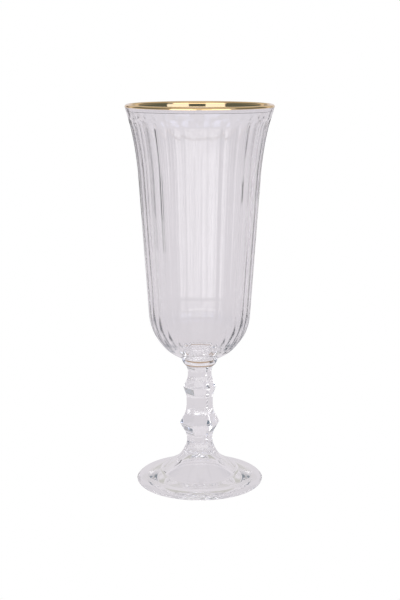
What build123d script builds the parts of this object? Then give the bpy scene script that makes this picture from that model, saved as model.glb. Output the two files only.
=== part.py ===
from build123d import *
import math
import os

# Champagne flute of clear pressed glass with a gilded lip, in millimetres.
# +Z is up, the origin is the centre of the plane that the foot rests on, and -Y is the front.
# Points of an outline are (radius or half width, height) pairs.

# ---- Driving dimensions -------------------------------------------------------------------
HEIGHT = 190.0              # resting plane to the top of the gilded lip
RIM_RADIUS = 36.1           # outside of the glass lip, under the gilding
WALL = 2.3                  # thickness of the bowl wall at the rounded lip

# Gilding: a fired film over the lip
FILM = 0.1                  # thickness of the film
FILM_OUTSIDE = 1.2          # depth of the band outside, from the top of the glass
FILM_INSIDE = 2.8           # depth of the band inside
GLASS_TOP = HEIGHT - FILM

# Bowl: a hemisphere, then a straight tapered wall, then a flare
ROUND_RADIUS = 25.3         # outside radius of the hemispherical bottom
ROUND_HEIGHT = 88.2         # height of the centre of that hemisphere
WALL_TAPER = 3.95           # half angle of the straight wall, degrees
FLARE_START = 155.0         # height where the straight wall turns into the flare
SEAT_RADIUS = 8.9           # flat disc under the bowl where the collar is fused on
FLOOR_THICKNESS = 3.0       # glass between that seat and the bottom of the cavity

# Flutes: shallow round-ended scoops all round the outside of the bowl
FLUTE_COUNT = 30
FLUTE_TOOL_RADIUS = 18.0    # radius of each scoop across its length
FLUTE_TURN = 2.5            # the front flute's angle from -Y, degrees
FLUTE_DEPTH_LOW = 0.33      # depth of a scoop on the hemisphere
FLUTE_DEPTH_HIGH = 0.43     # depth of a scoop at the start of the flare
FLUTE_DEPTH_TOP = 0.54      # depth of a scoop at its upper end
FLUTE_TOP = 179.5           # height on the wall of the upper end of the scoop's centre line
FLUTE_WALL_LOW = 0.07       # shares of the straight wall where the tool's path starts to bend
FLUTE_WALL_HIGH = 0.96
FLUTE_END_ANGLE = 50.0      # the scoop's lower end, degrees up the hemisphere from its pole

# Collar between the bowl and the stem
COLLAR_BASE = (7.2, 60.8)
COLLAR_BULGE = (8.3, 62.1)
COLLAR_EDGE = (8.9, 63.8)

# Stem: a hexagonal section with two knops; half widths are measured to the flats
STEM_FACETS = 6
STEM_TURN = 9.0             # the front facet's angle from -Y, degrees
STEM_BASE = (6.5, 18.0)
LOWER_NECK = (5.65, 22.6)
LOWER_KNOP_START = (6.45, 26.4)
LOWER_KNOP = (8.8, 31.0)
LOWER_KNOP_END = (6.4, 36.2)
WAIST = (5.8, 42.0)
UPPER_KNOP_START = (6.1, 45.8)
UPPER_KNOP = (7.35, 49.8)
UPPER_KNOP_END = (5.8, 53.0)
UPPER_NECK = (5.2, 56.4)
STEM_TOP = (6.15, COLLAR_BASE[1])

# Foot: a round disc that sweeps up to the stem, hollow underneath like a bell
FOOT_PAD = (7.6, STEM_BASE[1])
FOOT_NECK = (9.1, 15.0)     # the sweep from the pad down to the dome
FOOT_DOME_TOP = (13.0, 11.4)
FOOT_DOME_BASE = (27.0, 4.5)
FOOT_SHOULDER = (30.6, 3.3)
FOOT_EDGE = (31.8, 2.0)     # the widest point
FOOT_UNDERCUT = (31.2, 0.75)
REST_OUTER = (29.8, 0.0)    # outside and inside of the flat ring that touches the table
REST_INNER = (26.6, 0.0)
HOLLOW_BROW = (24.0, 0.5)   # the bell: a flat brow, a steep cone and a blunt tip
HOLLOW_BASE = (17.0, 2.0)
HOLLOW_NECK = (4.0, 12.4)
HOLLOW_TIP = (0.0, 14.0)


def xz(radius, height):
    """A point of the XZ plane."""
    return Vector(radius, 0, height)


def turned(shape, angle):
    """The shape turned about the upright axis, in degrees."""
    return Rot(0, 0, angle) * shape


def face_of(*edges):
    """One face inside edges of the XZ plane that close on each other."""
    return make_face(Curve() + list(edges))


def spun(*edges):
    """A solid of revolution about the upright axis."""
    return revolve(face_of(*edges), Axis.Z, 360)


# ---- Bowl ---------------------------------------------------------------------------------
def seat_height():
    """Height where the hemisphere has narrowed to the seat."""
    return ROUND_HEIGHT - math.sqrt(ROUND_RADIUS**2 - SEAT_RADIUS**2)


def wall_stretches(inset, centre_height):
    """Hemisphere, straight wall and flare, at a distance inside the outer surface.

    The hemisphere starts at its pole, and the flare ends at the lip."""
    taper = math.radians(WALL_TAPER)
    radius = ROUND_RADIUS - inset
    low = xz(radius * math.cos(taper), centre_height - radius * math.sin(taper))
    high = xz(low.X + (FLARE_START - low.Z) * math.tan(taper), FLARE_START)
    lip = xz(RIM_RADIUS - inset, GLASS_TOP - WALL / 2)
    along = Vector(math.sin(taper), 0, math.cos(taper))
    middle = math.radians(45)
    on_round = xz(radius * math.sin(middle), centre_height - radius * math.cos(middle))
    pole = xz(0, centre_height - radius)
    return (
        ThreePointArc(pole, on_round, low),
        Line(low, high),
        TangentArc(high, lip, tangent=along),
    )


def outside_stretches():
    return wall_stretches(0, ROUND_HEIGHT)


def inside_stretches():
    return wall_stretches(WALL, seat_height() + FLOOR_THICKNESS + ROUND_RADIUS - WALL)


def lip_round():
    """The half round over the lip, from outside to inside."""
    side = GLASS_TOP - WALL / 2
    return ThreePointArc(xz(RIM_RADIUS, side), xz(RIM_RADIUS - WALL / 2, GLASS_TOP),
                         xz(RIM_RADIUS - WALL, side))


def bowl_blank():
    """The bowl before its scoops: a spun wall with a flat seat underneath."""
    outside = outside_stretches()
    inside = inside_stretches()
    body = spun(*outside, lip_round(), *inside, Line(outside[0] @ 0, inside[0] @ 0))
    below_seat = Pos(0, 0, seat_height()) * Cylinder(
        2 * SEAT_RADIUS, ROUND_RADIUS, align=(Align.CENTER, Align.CENTER, Align.MAX))
    return body - below_seat


def flute_path():
    """Centre line of the round tool that leaves one scoop on the +X side of the bowl."""
    wall, flare = outside_stretches()[1:]
    along = (wall % 0.5).normalized()
    outward = Vector(along.Z, 0, -along.X)
    start = wall @ FLUTE_WALL_LOW + outward * (FLUTE_TOOL_RADIUS - FLUTE_DEPTH_LOW)
    turn = wall @ FLUTE_WALL_HIGH + outward * (FLUTE_TOOL_RADIUS - FLUTE_DEPTH_HIGH)
    share = (FLUTE_TOP - FLARE_START) / ((flare @ 1).Z - FLARE_START)
    slope = flare % share
    end = flare @ share + Vector(slope.Z, 0, -slope.X) * (FLUTE_TOOL_RADIUS - FLUTE_DEPTH_TOP)
    reach = ROUND_RADIUS + FLUTE_TOOL_RADIUS - FLUTE_DEPTH_LOW
    pole_angle = math.radians(FLUTE_END_ANGLE)
    bottom = xz(reach * math.sin(pole_angle), ROUND_HEIGHT - reach * math.cos(pole_angle))
    direction = (turn - start).normalized()
    return (
        TangentArc(start, bottom, tangent=-direction),
        Line(start, turn),
        TangentArc(turn, end, tangent=direction),
    )


def bent_bar(arc):
    """The round tool's track along an arc, as part of a torus."""
    across = arc % 0
    to_centre = arc.arc_center - arc @ 0
    section = Plane(origin=arc @ 0, z_dir=across) * Circle(FLUTE_TOOL_RADIUS)
    hinge = Axis(arc.arc_center, to_centre.cross(across) * -1)
    return revolve(section, hinge, math.degrees(arc.length / arc.radius))


def flute_cutter():
    """One scoop: a round bar bent along the wall, with a ball at each end."""
    round_stretch, wall_stretch, flare_stretch = flute_path()
    start = Plane(origin=wall_stretch @ 0, z_dir=wall_stretch % 0)
    straight = extrude(start * Circle(FLUTE_TOOL_RADIUS), amount=wall_stretch.length)
    ball = Sphere(FLUTE_TOOL_RADIUS)
    lower_end = Pos(*(round_stretch @ 1)) * ball
    upper_end = Pos(*(flare_stretch @ 1)) * ball
    return straight + [bent_bar(round_stretch), bent_bar(flare_stretch), lower_end, upper_end]


def bowl():
    """The bowl with its ring of scoops."""
    body = bowl_blank()
    cutter = flute_cutter()
    for index in range(FLUTE_COUNT):
        body = body - turned(cutter, FLUTE_TURN - 90 + index * 360 / FLUTE_COUNT)
    return body


# ---- Gilding ------------------------------------------------------------------------------
def rim_gilding():
    """A band of even thickness up the outside, over the lip and down the inside."""
    flare_out = outside_stretches()[2]
    flare_in = inside_stretches()[2]
    side = GLASS_TOP - WALL / 2
    flare_height = side - FLARE_START
    out_share = 1 - (FILM_OUTSIDE - WALL / 2) / flare_height
    in_share = 1 - (FILM_INSIDE - WALL / 2) / flare_height
    glass = Wire([flare_out.trim(out_share, 1).edge(), lip_round().edge(),
                  flare_in.trim(in_share, 1).edge()])
    band = offset(glass, FILM, side=Side.LEFT, closed=True)
    return revolve(make_face(band), Axis.Z, 360)


# ---- Collar -------------------------------------------------------------------------------
def collar():
    """A small flared disc, fused to the bowl above and to the stem below."""
    top = seat_height()
    base = xz(*COLLAR_BASE)
    edge = xz(*COLLAR_EDGE)
    rim = xz(SEAT_RADIUS, top)
    return spun(
        Line(xz(0, COLLAR_BASE[1]), base),
        ThreePointArc(base, xz(*COLLAR_BULGE), edge),
        Line(edge, rim),
        Line(rim, xz(0, top)),
        Line(xz(0, top), xz(0, COLLAR_BASE[1])),
    )


# ---- Stem ---------------------------------------------------------------------------------
def faceted(edges, count, turn, reach):
    """A solid whose level sections are regular polygons.

    The edges draw the half width to the flats, from the bottom up. The first facet faces
    turn degrees away from -Y."""
    low = edges[0] @ 0
    high = edges[-1] @ 1
    half = face_of(*edges, Line(high, xz(0, high.Z)), Line(xz(0, high.Z), xz(0, low.Z)),
                   Line(xz(0, low.Z), low))
    slab = extrude(half + mirror(half, Plane.YZ), amount=reach, dir=(0, 1, 0), both=True)
    solid = turned(slab, turn - 90)
    for index in range(1, count // 2):
        solid = solid & turned(slab, turn - 90 + index * 360 / count)
    return solid


def stem():
    """The hexagonal stem: a neck, a large knop, a waist, a small knop and a neck."""
    edges = [
        ThreePointArc(xz(*STEM_BASE), xz(*LOWER_NECK), xz(*LOWER_KNOP_START)),
        Line(xz(*LOWER_KNOP_START), xz(*LOWER_KNOP)),
        Line(xz(*LOWER_KNOP), xz(*LOWER_KNOP_END)),
        ThreePointArc(xz(*LOWER_KNOP_END), xz(*WAIST), xz(*UPPER_KNOP_START)),
        Line(xz(*UPPER_KNOP_START), xz(*UPPER_KNOP)),
        Line(xz(*UPPER_KNOP), xz(*UPPER_KNOP_END)),
        ThreePointArc(xz(*UPPER_KNOP_END), xz(*UPPER_NECK), xz(*STEM_TOP)),
    ]
    return faceted(edges, STEM_FACETS, STEM_TURN, 2 * LOWER_KNOP[0])


# ---- Foot ---------------------------------------------------------------------------------
def foot():
    """The foot: a spun disc with a bell-shaped hollow that opens at the table."""
    neck = ThreePointArc(xz(*FOOT_PAD), xz(*FOOT_NECK), xz(*FOOT_DOME_TOP))
    return spun(
        neck,
        TangentArc(neck @ 1, xz(*FOOT_DOME_BASE), tangent=neck % 1),
        ThreePointArc(xz(*FOOT_DOME_BASE), xz(*FOOT_SHOULDER), xz(*FOOT_EDGE)),
        ThreePointArc(xz(*FOOT_EDGE), xz(*FOOT_UNDERCUT), xz(*REST_OUTER)),
        Line(xz(*REST_OUTER), xz(*REST_INNER)),
        Line(xz(*REST_INNER), xz(*HOLLOW_BROW)),
        Line(xz(*HOLLOW_BROW), xz(*HOLLOW_BASE)),
        Line(xz(*HOLLOW_BASE), xz(*HOLLOW_NECK)),
        Line(xz(*HOLLOW_NECK), xz(*HOLLOW_TIP)),
        Line(xz(*HOLLOW_TIP), xz(0, FOOT_PAD[1])),
        Line(xz(0, FOOT_PAD[1]), xz(*FOOT_PAD)),
    )


# ---- Nodes --------------------------------------------------------------------------------
NODES = {
    "bowl": bowl,
    "rim_gilding": rim_gilding,
    "collar": collar,
    "stem": stem,
    "foot": foot,
}

os.makedirs("parts", exist_ok=True)
for name, build in NODES.items():
    export_step(build(), f"parts/{name}.step")
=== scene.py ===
import math
import bpy
import numpy as np
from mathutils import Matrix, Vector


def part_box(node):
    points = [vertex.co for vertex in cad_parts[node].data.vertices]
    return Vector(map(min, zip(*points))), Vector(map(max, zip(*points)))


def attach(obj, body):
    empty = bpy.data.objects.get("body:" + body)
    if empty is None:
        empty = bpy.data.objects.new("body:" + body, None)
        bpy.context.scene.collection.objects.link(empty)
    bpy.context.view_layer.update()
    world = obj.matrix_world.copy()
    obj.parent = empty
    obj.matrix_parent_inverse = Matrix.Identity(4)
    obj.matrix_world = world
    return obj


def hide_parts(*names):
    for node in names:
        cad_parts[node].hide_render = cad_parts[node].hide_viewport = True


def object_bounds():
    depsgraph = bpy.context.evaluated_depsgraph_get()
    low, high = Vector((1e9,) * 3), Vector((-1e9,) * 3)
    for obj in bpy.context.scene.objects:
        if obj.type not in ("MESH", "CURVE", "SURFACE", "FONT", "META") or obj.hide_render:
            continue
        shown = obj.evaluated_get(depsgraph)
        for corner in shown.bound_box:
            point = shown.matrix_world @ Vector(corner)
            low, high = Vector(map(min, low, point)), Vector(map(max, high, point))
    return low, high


# Champagne flute of clear pressed glass with a gilded lip. Outlines are in millimetres, as
# (radius or half width, height); meshes are made in metres, in the frame of the CAD model.

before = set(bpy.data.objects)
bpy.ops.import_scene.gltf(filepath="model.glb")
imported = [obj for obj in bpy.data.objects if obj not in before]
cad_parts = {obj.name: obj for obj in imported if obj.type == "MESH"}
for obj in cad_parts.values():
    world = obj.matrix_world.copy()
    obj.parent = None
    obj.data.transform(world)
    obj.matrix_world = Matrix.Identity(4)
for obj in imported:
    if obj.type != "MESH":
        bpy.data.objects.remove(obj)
cad_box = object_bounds()
MM = 0.001

SEAT_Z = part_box("collar")[1].z / MM          # where the bowl sits on the collar
COLLAR_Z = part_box("stem")[1].z / MM          # where the collar sits on the stem
PAD_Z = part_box("foot")[1].z / MM             # where the stem sits on the foot
TOP_Z = cad_box[1].z / MM
FILM = 0.1                                   # thickness of the gilding
FILM_OUTSIDE = 1.2                           # depth of the gilded band outside the lip
FILM_INSIDE = 2.8                            # and inside it
GLASS_TOP = TOP_Z - FILM
RIM_RADIUS = cad_box[1].x / MM - FILM
WALL = 2.3                                   # thickness of the bowl's wall
ROUND_RADIUS = 25.3                          # the hemispherical bottom of the bowl
ROUND_HEIGHT = 88.2
SEAT_RADIUS = 8.9                            # the flat seat under the bowl
FLOOR_THICKNESS = 3.0
FLARE_START = 155.0
TAPER = math.radians(3.95)

# Flutes: round-ended scoops cut by a ball of this radius
FLUTE_COUNT = 30
FLUTE_TURN = 2.5                             # the front flute's angle from -Y, degrees
FLUTE_RADIUS = 18.0
FLUTE_TOP = 179.5
FLUTE_END_ANGLE = 50.0                       # the lower end, degrees up from the pole
FLUTE_DEPTHS = ((91.0, 0.33), (152.0, 0.43), (FLUTE_TOP, 0.54))    # (height, depth) pairs
FLUTE_REACH = 11.0                           # no scoop cuts further than this past its end
ARRIS_SOFTNESS = 0.3                         # of the ridge between two flutes
EDGE_SOFTNESS = 0.1                          # of the edge where a flute meets the plain wall

# Collar, stem and foot: points of their outlines
COLLAR_BASE = (7.2, COLLAR_Z)
COLLAR_BULGE = (8.3, 62.1)
COLLAR_EDGE = (8.9, 63.8)
STEM_FACETS = 6
STEM_TURN = 9.0                              # the front facet's angle from -Y, degrees
STEM_ROUNDING = 0.35                         # radius of the edges between facets
STEM_BASE = (6.5, PAD_Z)
LOWER_NECK = (5.65, 22.6)
LOWER_KNOP_START = (6.45, 26.4)
LOWER_KNOP = (8.8, 31.0)
LOWER_KNOP_END = (6.4, 36.2)
WAIST = (5.8, 42.0)
UPPER_KNOP_START = (6.1, 45.8)
UPPER_KNOP = (7.35, 49.8)
UPPER_KNOP_END = (5.8, 53.0)
UPPER_NECK = (5.2, 56.4)
STEM_TOP = (6.15, COLLAR_Z)
FOOT_PAD = (7.6, PAD_Z)
FOOT_NECK = (9.1, 15.0)
FOOT_DOME_TOP = (13.0, 11.4)
FOOT_DOME_BASE = (27.0, 4.5)
FOOT_SHOULDER = (30.6, 3.3)
FOOT_EDGE = (31.8, 2.0)
FOOT_UNDERCUT = (31.2, 0.75)
REST_OUTER = (29.8, 0.0)
REST_INNER = (26.6, 0.0)
HOLLOW_BROW = (24.0, 0.5)
HOLLOW_BASE = (17.0, 2.0)
HOLLOW_NECK = (4.0, 12.4)
HOLLOW_TIP = (0.0, 14.0)

# Softness of the corners between the runs of an outline
STEM_EASE = 0.22
COLLAR_EASE = 0.1
HOLLOW_EASE = 0.6

# Meshes: material slots, columns, and the spacing of rows
GLASS, JOINT = 0, 1                          # slots of the glass pieces
FACE, BACK = 0, 1                            # slots of the gilding
HALF_WAY = (0.5, 0.5, 1)                     # from a ring towards its own axis
TOUCH = 0.01                                 # a row this near the film's end is on it
FLUTE_COLUMNS = (-5.7, -5.35, -4.8, -4.0, -3.0, -2.0, -1.0, 0,
                 1.0, 2.0, 3.0, 4.0, 4.8, 5.35, 5.7, 6.0)
BOWL_ROWS = ((87, 0.8), (152, 2.0), (175, 1.1), (186, 0.33))       # (up to height, spacing)
BAND_SPACING = 0.5
LIP_SPACING = 0.15
LIP_STEPS = 14
CAVITY_ROWS = ((155, 1.0), (92, 3.0))        # (down to height, spacing)
CAVITY_BAND_SPACING = 0.2
CAVITY_END_SPACING = 0.9
CAVITY_END_GAP = 1.0                         # from the last row to the cavity's lowest point
SEAT_RINGS = (3.0, 6.0)
COLLAR_TOP_RING = 4.5
COLLAR_ROW_COUNT = 20
GILDING_COLUMNS = np.arange(0, 360, 1.0)
GILDING_OUTSIDE_ROWS = 5
GILDING_INSIDE_ROWS = 8
GILDING_LIP_STEPS = 22
CORNER_COLUMNS = (26.0, 27.4, 28.4, 29.0, 29.5, 30.0, 30.5, 31.0, 31.6, 32.6, 34.0)
FLAT_SPACING = 2.0                           # degrees between columns away from the corners
CORNER_REACH = 4.6                           # degrees from a corner that its columns cover
NEAR_DOUBLE = 0.12                           # columns closer than this are one, degrees
STEM_SPACING = 0.3
FOOT_SPACING = 0.35
HOLLOW_SPACING = 0.5
UNDER_ROWS = ((2.7, 0.25),)                  # (up to length, spacing)
REST_SPACING = 0.8


# ---- Outlines -----------------------------------------------------------------------------
ARC_POINTS = 60                              # points along one run of an outline
LINE_POINTS = 30
WALL_ARC_POINTS = 200
WALL_LINE_POINTS = 60
EASE_STEP = 0.04                             # spacing of points on an eased outline


def arc_through(a, b, c):
    """Points along the arc from a through b to c."""
    a, b, c = (np.array(p, float) for p in (a, b, c))
    d = 2 * (a[0] * (b[1] - c[1]) + b[0] * (c[1] - a[1]) + c[0] * (a[1] - b[1]))
    squares = [p @ p for p in (a, b, c)]
    centre = np.array([
        (squares[0] * (b[1] - c[1]) + squares[1] * (c[1] - a[1]) + squares[2] * (a[1] - b[1])) / d,
        (squares[0] * (c[0] - b[0]) + squares[1] * (a[0] - c[0]) + squares[2] * (b[0] - a[0])) / d,
    ])
    angles = [math.atan2(*(p - centre)[::-1]) for p in (a, b, c)]
    sweep = (angles[2] - angles[0]) % (2 * math.pi)
    if (angles[1] - angles[0]) % (2 * math.pi) > sweep:
        sweep -= 2 * math.pi
    t = angles[0] + sweep * np.linspace(0, 1, ARC_POINTS)
    return centre + np.hypot(*(a - centre)) * np.stack([np.cos(t), np.sin(t)], 1)


def tangent_arc(a, direction, b, count=ARC_POINTS):
    """Points along the arc that leaves a in a direction and ends at b."""
    a, b = np.array(a, float), np.array(b, float)
    u = np.array(direction, float) / np.hypot(*direction)
    side = np.array([-u[1], u[0]])
    chord = b - a
    radius = (chord @ chord) / (2 * (chord @ side))
    middle_turn = math.atan2(chord @ side, chord @ u)
    t = np.linspace(0, 2 * middle_turn, count)
    return a + abs(radius) * (np.outer(np.sin(np.abs(t)), u)
                              + np.outer((1 - np.cos(t)) * np.sign(radius), side))


def line(a, b, count=LINE_POINTS):
    """Points along the straight run from a to b."""
    return np.linspace(a, b, count)


def chain(*runs):
    """One run of points, without the doubled ones."""
    points = np.concatenate(runs)
    keep = np.r_[True, np.hypot(*np.diff(points, axis=0).T) > 1e-6]
    return points[keep]


def lengths(points):
    """The length along a polyline at each of its points."""
    return np.r_[0, np.cumsum(np.hypot(*np.diff(points, axis=0).T))]


def at(points, s):
    """Points of a polyline at the lengths s."""
    along = lengths(points)
    return np.stack([np.interp(s, along, points[:, k]) for k in range(points.shape[1])], 1)


def eased(points, softness):
    """The polyline with its corners rounded, its ends kept in place."""
    total = lengths(points)[-1]
    s = np.linspace(0, total, int(total / EASE_STEP) + 1)
    fine = at(points, s)
    reach = int(3 * softness / EASE_STEP)
    weights = np.exp(-0.5 * (np.arange(-reach, reach + 1) * EASE_STEP / softness) ** 2)
    weights /= weights.sum()
    ahead = 2 * fine[0] - fine[reach:0:-1]
    behind = 2 * fine[-1] - fine[-2:-reach - 2:-1]
    padded = np.concatenate([ahead, fine, behind])
    return np.stack([np.convolve(padded[:, k], weights, "valid") for k in range(2)], 1)


def length_at(points, z):
    """The length along an outline, rising or falling all the way, where it passes z."""
    sign = 1 if points[-1, 1] > points[0, 1] else -1
    return float(np.interp(sign * z, sign * points[:, 1], lengths(points)))


def spaced(points, spacing):
    """Points evenly along an outline, about a spacing apart."""
    total = lengths(points)[-1]
    return at(points, np.linspace(0, total, int(total / spacing)))


def stations(breaks):
    """Lengths along a run: (end, step) pairs, with each stretch evenly divided."""
    out, start = [0.0], 0.0
    for end, step in breaks:
        count = max(1, int(round((end - start) / step)))
        out += list(start + (end - start) * np.arange(1, count + 1) / count)
        start = end
    return np.array(out)


def wall_outline(inset, centre_z):
    """Hemisphere, straight wall and flare of the bowl, from the pole up to the lip."""
    radius = ROUND_RADIUS - inset
    t = np.linspace(0, math.pi / 2 - TAPER, WALL_ARC_POINTS)
    round_part = np.stack([radius * np.sin(t), centre_z - radius * np.cos(t)], 1)
    low = round_part[-1]
    high = np.array([low[0] + (FLARE_START - low[1]) * math.tan(TAPER), FLARE_START])
    lip = (RIM_RADIUS - inset, GLASS_TOP - WALL / 2)
    flare = tangent_arc(high, (math.sin(TAPER), math.cos(TAPER)), lip, WALL_ARC_POINTS)
    return chain(round_part, line(low, high, WALL_LINE_POINTS), flare)


outer_wall = wall_outline(0.0, ROUND_HEIGHT)
cavity_wall = wall_outline(WALL, SEAT_Z + FLOOR_THICKNESS + ROUND_RADIUS - WALL)[::-1]


def lip_points(steps):
    """Points over the rounded lip, from the outside to the inside, with both ends."""
    a = np.linspace(0, math.pi, steps + 1)
    return np.stack([RIM_RADIUS - WALL / 2 + WALL / 2 * np.cos(a),
                     GLASS_TOP - WALL / 2 + WALL / 2 * np.sin(a)], 1)


def normals(points):
    """Unit normals of an outline, on its right-hand side."""
    tangent = np.gradient(points, axis=0)
    tangent /= np.hypot(*tangent.T)[:, None]
    return np.stack([tangent[:, 1], -tangent[:, 0]], 1)


# ---- Meshes -------------------------------------------------------------------------------
def angles_of(turn, count, offsets):
    """Column angles in degrees: offsets from the middle of each of count sectors."""
    middles = turn + np.arange(count) * 360 / count
    return (middles[:, None] + np.array(offsets)[None]).ravel()


def columns_of(*groups):
    """Sorted column angles, in degrees, with near doubles dropped."""
    found = np.sort(np.concatenate([np.asarray(g, float) % 360 for g in groups]))
    keep = [found[0]]
    for a in found[1:]:
        if a - keep[-1] > NEAR_DOUBLE:
            keep.append(a)
    return np.array(keep)


def ring(radius, z, angles):
    """A ring of points; angle 0 is the front, -Y, and angles grow towards +X."""
    t = np.radians(angles)
    r = np.broadcast_to(radius, t.shape)
    return np.stack([r * np.sin(t), -r * np.cos(t), np.broadcast_to(z, t.shape)], 1)


def pole(z):
    """A ring of one point, on the axis."""
    return np.array([[0, 0, z]])


def rings_of(points, angles):
    """Round rings at the points of an outline."""
    return [ring(radius, z, angles) for radius, z in points]


def lathe_mesh(name, rings, slots, materials, loop=False, flat=(JOINT,)):
    """A mesh over rings of points, each ring a full turn or a pole.

    slots gives the material index of the band after each ring, flat those shaded flat."""
    verts, starts, counts = [], [], []
    total = 0
    for r in rings:
        starts.append(total)
        counts.append(len(r))
        verts.append(r)
        total += len(r)
    verts = np.concatenate(verts) * MM
    faces, face_slots = [], []
    pairs = [(i, i + 1) for i in range(len(rings) - 1)]
    if loop:
        pairs.append((len(rings) - 1, 0))
    for i, k in pairs:
        n = max(counts[i], counts[k])
        j = np.arange(n)
        nxt = (j + 1) % n
        if counts[i] == 1:
            quads = np.stack([np.full(n, starts[i]), starts[k] + nxt, starts[k] + j], 1)
        elif counts[k] == 1:
            quads = np.stack([starts[i] + j, starts[i] + nxt, np.full(n, starts[k])], 1)
        else:
            quads = np.stack([starts[i] + j, starts[i] + nxt, starts[k] + nxt, starts[k] + j], 1)
        faces += quads.tolist()
        face_slots += [slots[i]] * n
    mesh = bpy.data.meshes.new(name)
    mesh.from_pydata(verts.tolist(), [], faces)
    for material in materials:
        mesh.materials.append(material)
    mesh.polygons.foreach_set("material_index", np.array(face_slots, np.int32))
    smooth = ~np.isin(np.array(face_slots), flat)
    mesh.polygons.foreach_set("use_smooth", smooth)
    mesh.validate()
    mesh.update()
    made = bpy.data.objects.new(name, mesh)
    bpy.context.scene.collection.objects.link(made)
    return made


# ---- Node helpers -------------------------------------------------------------------------
class Graph:
    """Short calls for a shader's nodes."""

    def __init__(self, tree):
        self.tree = tree
        tree.nodes.clear()

    def node(self, kind, **settings):
        made = self.tree.nodes.new(kind)
        for key, value in settings.items():
            setattr(made, key, value)
        return made

    def join(self, source, target):
        self.tree.links.new(source, target)

    def put(self, socket, value):
        """Feeds a socket from another node's output, or sets its plain value."""
        if isinstance(value, bpy.types.NodeSocket):
            self.join(value, socket)
        else:
            socket.default_value = value

    def math(self, operation, a, b=0.0):
        made = self.node("ShaderNodeMath", operation=operation)
        self.put(made.inputs[0], a)
        self.put(made.inputs[1], b)
        return made.outputs[0]

    def step(self, value, low, high):
        """0 below low, 1 above high, smooth between."""
        made = self.node("ShaderNodeMapRange", interpolation_type="SMOOTHSTEP")
        self.put(made.inputs["Value"], value)
        made.inputs["From Min"].default_value = low
        made.inputs["From Max"].default_value = high
        return made.outputs[0]

    def mix(self, factor, a, b):
        """Colour a where the factor is 0, b where it is 1."""
        made = self.node("ShaderNodeMix", data_type="RGBA")
        self.put(made.inputs[0], factor)
        for socket, value in ((made.inputs[6], a), (made.inputs[7], b)):
            if not isinstance(value, bpy.types.NodeSocket):
                value = (*value, 1.0)
            self.put(socket, value)
        return made.outputs[2]

    def between(self, value, low, high, soft):
        """1 from low to high, falling to 0 over soft on each side."""
        rise = self.step(value, low - soft / 2, low + soft / 2)
        fall = self.step(value, high - soft / 2, high + soft / 2)
        return self.math("SUBTRACT", rise, fall)


def new_material(name):
    material = bpy.data.materials.new(name)
    material.use_nodes = True
    return material, Graph(material.node_tree)


# ---- Materials ----------------------------------------------------------------------------
GLASS_TINT = (0.985, 0.98, 0.985)
GLASS_IOR = 1.5
RIPPLE_DETAIL = 1.5
BOWL_RIPPLE = (60.0, 0.000004)               # scale, and depth in metres
STEM_RIPPLE = (150.0, 0.000003)
FOOT_RIPPLE = (90.0, 0.000003)
# a level gold-brown band around the collar's side, tinting the glass between two heights
COLLAR_TINTED_BAND = ((0.34, 0.18, 0.07), 61.25 * MM, 61.95 * MM)
TINTED_BAND_SOFTNESS = 0.25 * MM
GOLD = (0.83, 0.60, 0.30)
GOLD_ROUGHNESS = 0.06
FILM_BACK = (0.99, 0.98, 0.99)               # near white, not gold, as the photo's pale areas
FILM_BACK_ROUGHNESS = 0.02
GRAIN_SCALE = 900.0                          # faint mottling of the film
GRAIN_DETAIL = 2.0
GRAIN_SHADE = 0.94


def pressed_glass(name, ripple, tinted_band=None):
    """Clear glass with the faint ripple that a mould leaves.

    A tinted band is a level band of another colour: colour, lower and upper height in metres."""
    scale, depth = ripple
    material, g = new_material(name)
    output = g.node("ShaderNodeOutputMaterial")
    shader = g.node("ShaderNodeBsdfPrincipled")
    shader.inputs["Transmission Weight"].default_value = 1.0
    shader.inputs["IOR"].default_value = GLASS_IOR
    shader.inputs["Roughness"].default_value = 0.0
    shader.inputs["Base Color"].default_value = (*GLASS_TINT, 1.0)
    place = g.node("ShaderNodeTexCoord")
    noise = g.node("ShaderNodeTexNoise")
    noise.inputs["Scale"].default_value = scale
    noise.inputs["Detail"].default_value = RIPPLE_DETAIL
    g.join(place.outputs["Object"], noise.inputs["Vector"])
    bump = g.node("ShaderNodeBump")
    bump.inputs["Strength"].default_value = 1.0
    bump.inputs["Distance"].default_value = depth
    g.join(noise.outputs["Fac"], bump.inputs["Height"])
    g.join(bump.outputs["Normal"], shader.inputs["Normal"])
    if tinted_band:
        colour, low, high = tinted_band
        split = g.node("ShaderNodeSeparateXYZ")
        g.join(place.outputs["Object"], split.inputs[0])
        band = g.between(split.outputs["Z"], low, high, TINTED_BAND_SOFTNESS)
        g.join(g.mix(band, GLASS_TINT, colour), shader.inputs["Base Color"])
    g.join(shader.outputs["BSDF"], output.inputs["Surface"])
    return material


def fused_joint():
    """A face where glass is fused to glass or carries the film: nothing to see."""
    material, g = new_material("fused_joint")
    output = g.node("ShaderNodeOutputMaterial")
    clear = g.node("ShaderNodeBsdfTransparent")
    g.join(clear.outputs[0], output.inputs["Surface"])
    return material


def gilding_metal(name, colour, roughness):
    """The metal of the film: gold on its free face, near white where it lies on the glass."""
    material, g = new_material(name)
    output = g.node("ShaderNodeOutputMaterial")
    shader = g.node("ShaderNodeBsdfPrincipled")
    shader.inputs["Metallic"].default_value = 1.0
    shader.inputs["Roughness"].default_value = roughness
    place = g.node("ShaderNodeTexCoord")
    noise = g.node("ShaderNodeTexNoise")
    noise.inputs["Scale"].default_value = GRAIN_SCALE
    noise.inputs["Detail"].default_value = GRAIN_DETAIL
    g.join(place.outputs["Object"], noise.inputs["Vector"])
    shade = [GRAIN_SHADE * c for c in colour]
    g.join(g.mix(noise.outputs["Fac"], shade, colour), shader.inputs["Base Color"])
    g.join(shader.outputs["BSDF"], output.inputs["Surface"])
    return material


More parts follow.
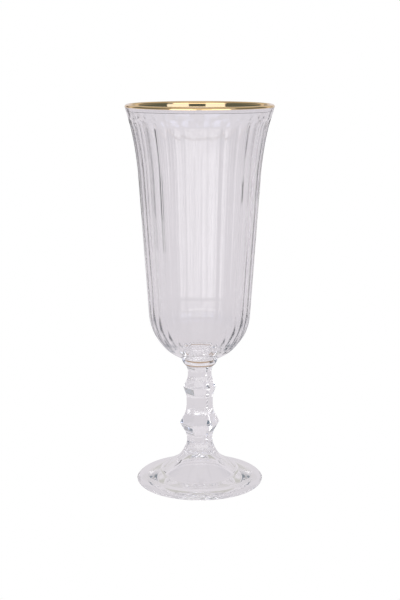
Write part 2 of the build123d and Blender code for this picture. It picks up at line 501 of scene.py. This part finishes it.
bowl_glass = pressed_glass("bowl_glass_clear", BOWL_RIPPLE)
stem_glass = pressed_glass("stem_glass_clear", STEM_RIPPLE)
foot_glass = pressed_glass("foot_glass_clear", FOOT_RIPPLE)
collar_glass = pressed_glass("collar_glass_clear", STEM_RIPPLE, COLLAR_TINTED_BAND)
joint = fused_joint()
gold_front = gilding_metal("gilding_face", GOLD, GOLD_ROUGHNESS)
gold_back = gilding_metal("gilding_back", FILM_BACK, FILM_BACK_ROUGHNESS)


# ---- Bowl ---------------------------------------------------------------------------------
def flute_offset(angles):
    """Each column's angle from the middle of its own flute, degrees."""
    pitch = 360 / FLUTE_COUNT
    return (np.asarray(angles) - FLUTE_TURN + pitch / 2) % pitch - pitch / 2


def scooped(points, angles):
    """How deep the scoops cut at each row and column, along the normal, in millimetres."""
    pitch = math.radians(360 / FLUTE_COUNT)
    s = lengths(points)
    normal_up = normals(points)[:, 1]
    level = np.sqrt(1 - normal_up ** 2)
    radius = points[:, 0]
    curve = radius / level
    low_z = ROUND_HEIGHT - ROUND_RADIUS * math.cos(math.radians(FLUTE_END_ANGLE))
    s_low = np.interp(low_z, points[:, 1], s)
    s_high = np.interp(FLUTE_TOP, points[:, 1], s)
    depth = np.interp(points[:, 1], *zip(*FLUTE_DEPTHS))
    beyond = np.maximum(s_low - s, 0) + np.maximum(s - s_high, 0)
    ball = np.sqrt(np.maximum(FLUTE_RADIUS ** 2 - beyond ** 2, 0))
    # the angle from the flute's middle, softened where two flutes meet
    off = np.abs(np.radians(flute_offset(angles)))
    gap = (pitch / 2 - off)[None] * radius[:, None]
    gap = np.sqrt(gap ** 2 + ARRIS_SOFTNESS ** 2)
    side = np.maximum(pitch / 2 - gap / radius[:, None], 0)
    turn = side * level[:, None]
    # the depth of the ball under the wall there, softened where it runs out
    reach = (curve + FLUTE_RADIUS - depth)[:, None]
    inside = ball[:, None] ** 2 - (reach * np.sin(turn)) ** 2
    cut = curve[:, None] - (reach * np.cos(turn) - np.sqrt(np.maximum(inside, 0)))
    cut = np.where(inside > 0, cut, -1.0)
    cut = 0.5 * (cut + np.sqrt(cut ** 2 + EDGE_SOFTNESS ** 2)) - 0.25 * EDGE_SOFTNESS ** 2
    return np.where(beyond[:, None] > FLUTE_REACH, 0.0, cut), normal_up, level


def make_bowl():
    """The glass of the bowl: the seat, the fluted outside, the lip and the cavity."""
    angles = columns_of(angles_of(FLUTE_TURN, FLUTE_COUNT, FLUTE_COLUMNS))
    rings = [pole(SEAT_Z)] + [ring(r, SEAT_Z, angles) for r in SEAT_RINGS]
    slots = [JOINT] * len(rings)

    start = length_at(outer_wall, SEAT_Z)
    band_low = GLASS_TOP - FILM_OUTSIDE
    breaks = [(length_at(outer_wall, z), spacing) for z, spacing in BOWL_ROWS]
    breaks += [(length_at(outer_wall, band_low), BAND_SPACING),
               (lengths(outer_wall)[-1], LIP_SPACING)]
    rows = start + stations([(end - start, spacing) for end, spacing in breaks])
    outside = at(outer_wall, rows)
    cut, normal_up, level = scooped(outside, angles)
    for i, (radius, z) in enumerate(outside):
        rings.append(ring(radius - level[i] * cut[i], z - normal_up[i] * cut[i], angles))
        slots.append(JOINT if z > band_low - TOUCH else GLASS)

    rings += rings_of(lip_points(LIP_STEPS)[1:], angles)
    slots += [JOINT] * LIP_STEPS

    film_end = length_at(cavity_wall, GLASS_TOP - FILM_INSIDE)
    breaks = [(film_end, CAVITY_BAND_SPACING)]
    breaks += [(length_at(cavity_wall, z), spacing) for z, spacing in CAVITY_ROWS]
    breaks += [(lengths(cavity_wall)[-1] - CAVITY_END_GAP, CAVITY_END_SPACING)]
    rows = stations(breaks)[1:]
    rings += rings_of(at(cavity_wall, rows), angles) + [pole(cavity_wall[-1, 1])]
    slots += [JOINT if s < film_end - TOUCH else GLASS for s in rows]
    return lathe_mesh("bowl_fluted", rings, slots, [bowl_glass, joint])


bowl = make_bowl()
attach(bowl, "root")
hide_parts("bowl")


# ---- Gilding ------------------------------------------------------------------------------
def make_gilding():
    """The film over the lip: its outer skin, then the side that lies on the glass."""
    band_low = length_at(outer_wall, GLASS_TOP - FILM_OUTSIDE)
    outside = at(outer_wall, np.linspace(band_low, lengths(outer_wall)[-1],
                                         GILDING_OUTSIDE_ROWS))
    film_end = length_at(cavity_wall, GLASS_TOP - FILM_INSIDE)
    inside = at(cavity_wall, np.linspace(0, film_end, GILDING_INSIDE_ROWS))
    glass = np.concatenate([outside, lip_points(GILDING_LIP_STEPS)[1:-1], inside])
    skin = glass + normals(glass) * FILM
    rings = rings_of(np.concatenate([skin, glass[::-1]]), GILDING_COLUMNS)
    slots = [FACE] * len(skin) + [BACK] * (len(glass) - 1) + [FACE]
    return lathe_mesh("gilded_lip", rings, slots, [gold_front, gold_back], loop=True, flat=())


gilding = make_gilding()
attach(gilding, "root")
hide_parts("rim_gilding")


# ---- Columns shared by the collar, the stem and the foot ----------------------------------
STEM_PITCH = 360 / STEM_FACETS
shared = columns_of(
    angles_of(STEM_TURN, STEM_FACETS, CORNER_COLUMNS),
    [a for a in np.arange(0, 360, FLAT_SPACING)
     if abs((a - STEM_TURN) % STEM_PITCH - STEM_PITCH / 2) > CORNER_REACH])


def hexagon(half):
    """Radii of hexagons with rounded corners, from half their widths, at the shared columns."""
    off = np.radians((shared - STEM_TURN + STEM_PITCH / 2) % STEM_PITCH - STEM_PITCH / 2)
    corner = math.radians(STEM_PITCH / 2)
    half = np.asarray(half, float)[:, None]
    centre = (half - STEM_ROUNDING) / math.cos(corner)
    away = np.abs(off)[None] - corner
    straight = half / np.cos(off)[None]
    inside = STEM_ROUNDING ** 2 - (centre * np.sin(away)) ** 2
    rounded = centre * np.cos(away) + np.sqrt(np.maximum(inside, 0))
    touch = centre * np.sin(corner)
    return np.where(half * np.tan(np.abs(off))[None] > touch, rounded, straight)


# ---- Stem ---------------------------------------------------------------------------------
stem_outline = eased(chain(
    arc_through(STEM_BASE, LOWER_NECK, LOWER_KNOP_START),
    line(LOWER_KNOP_START, LOWER_KNOP),
    line(LOWER_KNOP, LOWER_KNOP_END),
    arc_through(LOWER_KNOP_END, WAIST, UPPER_KNOP_START),
    line(UPPER_KNOP_START, UPPER_KNOP),
    line(UPPER_KNOP, UPPER_KNOP_END),
    arc_through(UPPER_KNOP_END, UPPER_NECK, STEM_TOP),
), STEM_EASE)


def make_stem():
    """The faceted stem and its rings, which the pieces at its ends share."""
    points = spaced(stem_outline, STEM_SPACING)
    rings = [ring(radii, z, shared) for radii, z in zip(hexagon(points[:, 0]), points[:, 1])]
    low = [pole(PAD_Z), rings[0] * HALF_WAY]
    high = [rings[-1] * HALF_WAY, pole(COLLAR_Z)]
    slots = [JOINT] * 2 + [GLASS] * (len(rings) - 1) + [JOINT] * 2
    return lathe_mesh("stem_faceted", low + rings + high, slots, [stem_glass, joint]), rings


stem, stem_rings = make_stem()
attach(stem, "root")
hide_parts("stem")


# ---- Collar -------------------------------------------------------------------------------
def make_collar():
    """The flared button: its bottom around the stem's end, its side and its top."""
    outline = eased(chain(arc_through(COLLAR_BASE, COLLAR_BULGE, COLLAR_EDGE),
                          line(COLLAR_EDGE, (SEAT_RADIUS, SEAT_Z))), COLLAR_EASE)
    points = at(outline, np.linspace(0, lengths(outline)[-1], COLLAR_ROW_COUNT))
    low = [pole(COLLAR_Z), stem_rings[-1] * HALF_WAY, stem_rings[-1]]
    high = [ring(COLLAR_TOP_RING, SEAT_Z, shared), pole(SEAT_Z)]
    rings = low + rings_of(points, shared) + high
    slots = [JOINT] * 2 + [GLASS] * len(points) + [JOINT] * 2
    return lathe_mesh("collar_flared", rings, slots, [collar_glass, joint])


collar = make_collar()
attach(collar, "root")
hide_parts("collar")


# ---- Foot ---------------------------------------------------------------------------------
def make_foot():
    """The domed foot: the hollow and the resting ring, the dome, and the pad for the stem."""
    neck = arc_through(FOOT_PAD, FOOT_NECK, FOOT_DOME_TOP)
    dome = tangent_arc(neck[-1], neck[-1] - neck[-2], FOOT_DOME_BASE)
    top = spaced(chain(neck, dome, arc_through(FOOT_DOME_BASE, FOOT_SHOULDER, FOOT_EDGE)),
                 FOOT_SPACING)
    under = chain(arc_through(FOOT_EDGE, FOOT_UNDERCUT, REST_OUTER), line(REST_OUTER, REST_INNER))
    under = at(under, stations([*UNDER_ROWS, (lengths(under)[-1], REST_SPACING)]))[1:]
    bell = (REST_INNER, HOLLOW_BROW, HOLLOW_BASE, HOLLOW_NECK, HOLLOW_TIP)
    hollow = eased(chain(*(line(a, b) for a, b in zip(bell, bell[1:]))), HOLLOW_EASE)
    hollow = spaced(hollow, HOLLOW_SPACING)
    below = rings_of(np.concatenate([under, hollow[1:-1]]), shared)
    rings = [pole(hollow[-1, 1])] + below[::-1] + rings_of(top, shared)[::-1]
    slots = [GLASS] * len(rings) + [JOINT] * 2
    rings += [stem_rings[0], stem_rings[0] * HALF_WAY, pole(PAD_Z)]
    return lathe_mesh("foot_domed", rings, slots, [foot_glass, joint])


foot = make_foot()
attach(foot, "root")
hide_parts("foot")


# ---- Floor and light ----------------------------------------------------------------------
STUDIO = (0.77, 0.74, 0.775)                 # the pale sweep, seen through the glass
SIDE = (0.42, 0.41, 0.42)
DARK = (0.13, 0.17, 0.21)
BACK_WALL = (0.56, 0.55, 0.52)
NEAR_FLOOR = (0.93, 0.90, 0.93)
HIGH_WINDOW = (1.4, 1.55, 2.1)
WINDOW = (2.7, 2.7, 2.7)
LEFT_WINDOW = (3.5, 3.5, 3.5)
RIGHT_WINDOW = (2.9, 2.9, 2.9)
LEFT_STREAK = (0.02, 0.02, 0.02)
LEFT_STREAK_TAIL = (0.35, 0.35, 0.35)
RIGHT_STREAK = (0.06, 0.06, 0.06)
LEFT_FOOT_LINE = (0.08, 0.08, 0.08)
RIGHT_FOOT_LINE = (0.40, 0.40, 0.40)

# Patches of the studio around the glass, each laid over the ones before it: colour, azimuths
# (0 is the camera's side, 90 the right), elevations, softness of the edges, all in degrees.
# The azimuth turns over at 180, so the wall behind takes two patches. The last five are placed
# by trial for the photo's angle: the glass shows them as its dark streaks and foot lines.
PATCHES = [
    (SIDE, (-125, -60), (1, 75), 8.0),
    (SIDE, (60, 125), (1, 75), 8.0),
    (DARK, (-128, -47), (12, 36), 2.0),
    (DARK, (47, 128), (12, 36), 2.0),
    (DARK, (-48, 48), (22, 36), 2.0),
    (HIGH_WINDOW, (20, 61), (25, 36), 1.2),
    (HIGH_WINDOW, (-47, -11), (25, 36), 1.2),
    (NEAR_FLOOR, (-85, 85), (-44, -27), 4.0),
    (BACK_WALL, (150, 200), (19, 55), 3.0),
    (BACK_WALL, (-200, -150), (19, 55), 3.0),
    (WINDOW, (-44, 46), (8, 19), 4.0),
    (LEFT_WINDOW, (-46, -5), (-7, 9.5), 3.0),
    (RIGHT_WINDOW, (3, 48), (-7, 9.5), 3.0),
    (LEFT_STREAK, (-163, -151), (-7.7, -5.15), 0.4),
    (LEFT_STREAK_TAIL, (-163, -157), (-10.0, -7.7), 0.4),
    (RIGHT_STREAK, (149, 156), (-6.9, -5.75), 0.4),
    (LEFT_FOOT_LINE, (-154, -137), (4, 13), 2.0),
    (RIGHT_FOOT_LINE, (138, 151), (4, 12), 2.0),
]

FLOOR_RADIUS = 2.6                           # in metres
FLOOR_SIDES = 96
LOOK_Z = 0.12                                # the floor is lit as seen from this height
SHADE_FLOOR = 0.09                           # how much darker the glass sees the floor,
SHADE_AROUND = 0.15                          # and close around the foot
RING_START = (16.0, 20.0)                    # a ring under the foot has no shade, mm from axis
RING_END = (22.0, 27.0)
AROUND_START = (29.0, 33.0)
AROUND_END = (36.0, 70.0)


def studio_light(g, direction):
    """The light from a direction: white to the camera, else the sweep with its patches."""
    split = g.node("ShaderNodeSeparateXYZ")
    g.join(direction, split.inputs[0])
    x, y, z = split.outputs
    turn = g.math("ARCTAN2", x, g.math("MULTIPLY", y, -1.0))
    azimuth = g.math("MULTIPLY", turn, 180 / math.pi)
    height = g.math("MULTIPLY", g.math("ARCSINE", z), 180 / math.pi)
    light = STUDIO
    for colour, sides, levels, soft in PATCHES:
        across = g.between(azimuth, *sides, soft)
        mask = g.math("MULTIPLY", across, g.between(height, *levels, soft))
        light = g.mix(mask, light, colour)
    path = g.node("ShaderNodeLightPath")
    return g.mix(path.outputs["Is Camera Ray"], light, (1, 1, 1))


def make_floor():
    """The floor of the sweep, lit like the studio; only the glass sees it shaded."""
    bpy.ops.mesh.primitive_circle_add(vertices=FLOOR_SIDES, radius=FLOOR_RADIUS,
                                      fill_type="NGON")
    floor = bpy.context.object
    floor.name = "studio_floor"
    material, g = new_material("studio_floor")
    output = g.node("ShaderNodeOutputMaterial")
    place = g.node("ShaderNodeTexCoord")
    glow = g.node("ShaderNodeEmission")
    down = g.node("ShaderNodeVectorMath", operation="SUBTRACT")
    g.join(place.outputs["Object"], down.inputs[0])
    down.inputs[1].default_value = (0, 0, LOOK_Z)
    unit = g.node("ShaderNodeVectorMath", operation="NORMALIZE")
    g.join(down.outputs[0], unit.inputs[0])
    g.join(studio_light(g, unit.outputs[0]), glow.inputs["Color"])

    reach = g.node("ShaderNodeVectorMath", operation="LENGTH")
    g.join(place.outputs["Object"], reach.inputs[0])
    away = g.math("DIVIDE", reach.outputs["Value"], MM)
    inner = g.math("SUBTRACT", 1.0, g.step(away, *RING_START))
    shade = g.math("MULTIPLY", SHADE_FLOOR, inner)
    outer = g.math("MULTIPLY", SHADE_FLOOR, g.step(away, *RING_END))
    shade = g.math("MAXIMUM", shade, outer)
    around = g.math("SUBTRACT", g.step(away, *AROUND_START), g.step(away, *AROUND_END))
    shade = g.math("MAXIMUM", shade, g.math("MULTIPLY", SHADE_AROUND, around))
    path = g.node("ShaderNodeLightPath")
    hidden = g.math("SUBTRACT", 1.0, path.outputs["Is Camera Ray"])
    g.join(g.math("SUBTRACT", 1.0, g.math("MULTIPLY", shade, hidden)), glow.inputs["Strength"])
    g.join(glow.outputs[0], output.inputs["Surface"])
    floor.data.materials.append(material)


def make_world():
    """The studio around the glass."""
    world = bpy.data.worlds.new("studio")
    bpy.context.scene.world = world
    world.use_nodes = True
    g = Graph(world.node_tree)
    output = g.node("ShaderNodeOutputWorld")
    background = g.node("ShaderNodeBackground")
    place = g.node("ShaderNodeTexCoord")
    g.join(studio_light(g, place.outputs["Generated"]), background.inputs["Color"])
    g.join(background.outputs[0], output.inputs["Surface"])


make_floor()
make_world()


# ---- Camera and view ----------------------------------------------------------------------
CAMERA_PLACE = (0.00015, -0.61145, 0.21563)
CAMERA_TILT = math.radians(78.724)
SENSOR_WIDTH = 36.0
LENS = 75.34
CLIP_START = 0.01

camera_data = bpy.data.cameras.new("camera")
camera = bpy.data.objects.new("camera", camera_data)
bpy.context.scene.collection.objects.link(camera)
camera.location = CAMERA_PLACE
camera.rotation_euler = (CAMERA_TILT, 0, 0)
camera_data.sensor_width = SENSOR_WIDTH
camera_data.lens = LENS
camera_data.clip_start = CLIP_START

scene = bpy.context.scene
scene.camera = camera
scene.view_settings.view_transform = "Standard"
scene.cycles.max_bounces = 40
scene.cycles.transmission_bounces = 32
scene.cycles.glossy_bounces = 12
scene.cycles.transparent_max_bounces = 48
